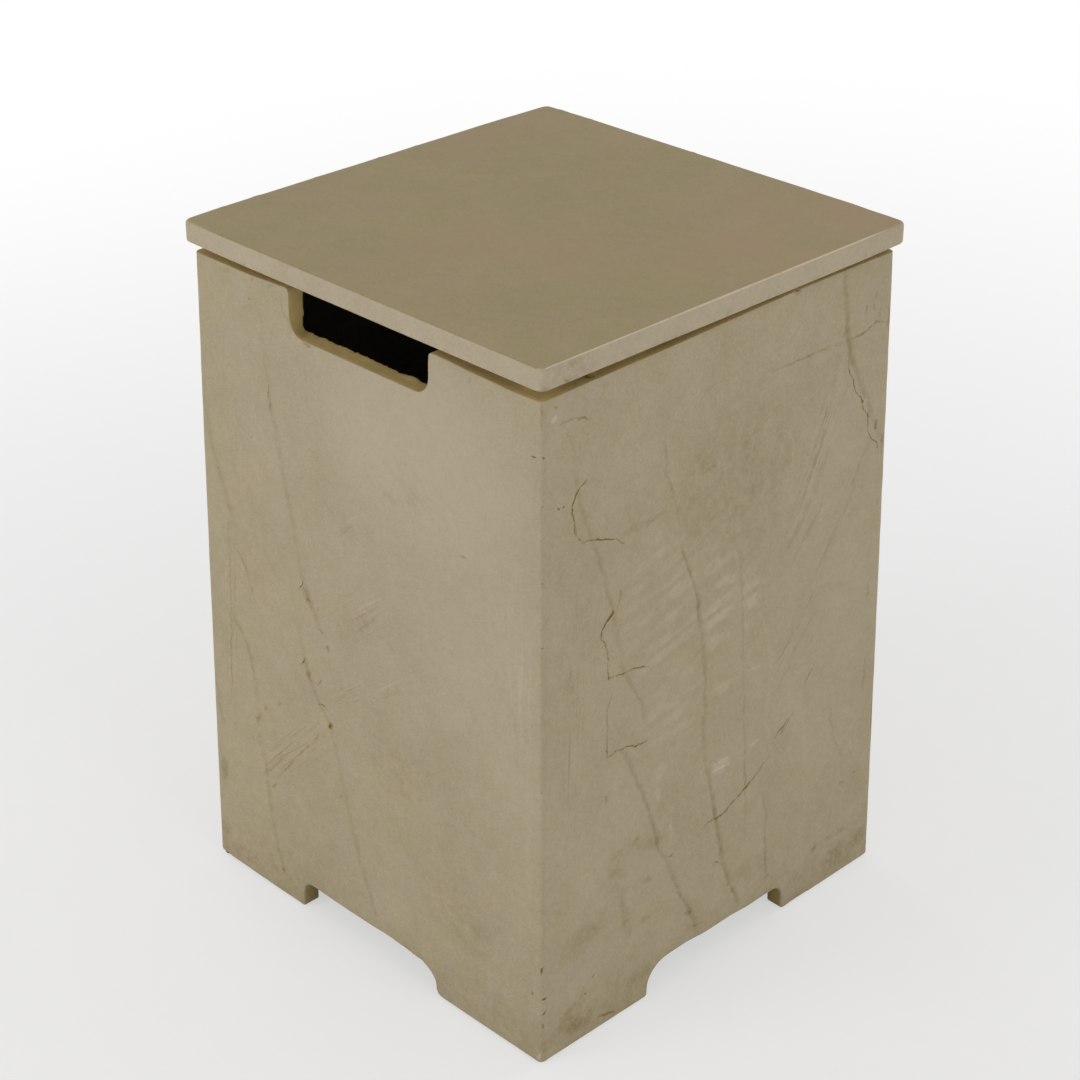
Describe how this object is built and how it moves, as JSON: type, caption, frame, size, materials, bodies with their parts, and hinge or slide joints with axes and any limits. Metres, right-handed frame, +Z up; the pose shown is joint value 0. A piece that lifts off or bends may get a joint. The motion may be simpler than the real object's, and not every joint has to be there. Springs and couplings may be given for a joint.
{
  "type": "propane tank cover table",
  "caption": "Square cast-concrete cover that stands over a gas cylinder, with arched feet, hand-holds under the rim and a loose slab lid that serves as a side table.",
  "frame": {"origin": "on the ground under the middle of the cover", "axes": "+Z up; -Y out of the front, which has one of the two hand-holds; +X to the right as seen from the front"},
  "size_m": [0.409, 0.409, 0.6],
  "materials": {
    "cast_concrete_body": "matte",
    "cast_concrete_lid": "matte",
    "pad_rubber": "matte",
    "bumper_rubber": "matte",
    "locator_plastic": "matte",
    "screw_steel": "satin",
    "insert_brass": "satin"
  },
  "bodies": {
    "body": {"cover_body": "cast_concrete_body", "foot_pad_front_left": "pad_rubber", "foot_pad_front_right": "pad_rubber", "foot_pad_back_right": "pad_rubber", "foot_pad_back_left": "pad_rubber"},
    "lid_assembly": {"lid": "cast_concrete_lid", "lid_inserts": "insert_brass", "lid_locator_front_left": "locator_plastic", "lid_locator_front_right": "locator_plastic", "lid_locator_back_right": "locator_plastic", "lid_locator_back_left": "locator_plastic", "locator_screws": "screw_steel", "lid_bumper_front_left": "bumper_rubber", "lid_bumper_front_right": "bumper_rubber", "lid_bumper_back_right": "bumper_rubber", "lid_bumper_back_left": "bumper_rubber"}
  },
  "joints": [
    {"name": "lid_lift", "type": "slide", "parent": "body", "child": "lid_assembly", "axis": [0, 0, 1], "range_m": [0, 0.12]}
  ]
}
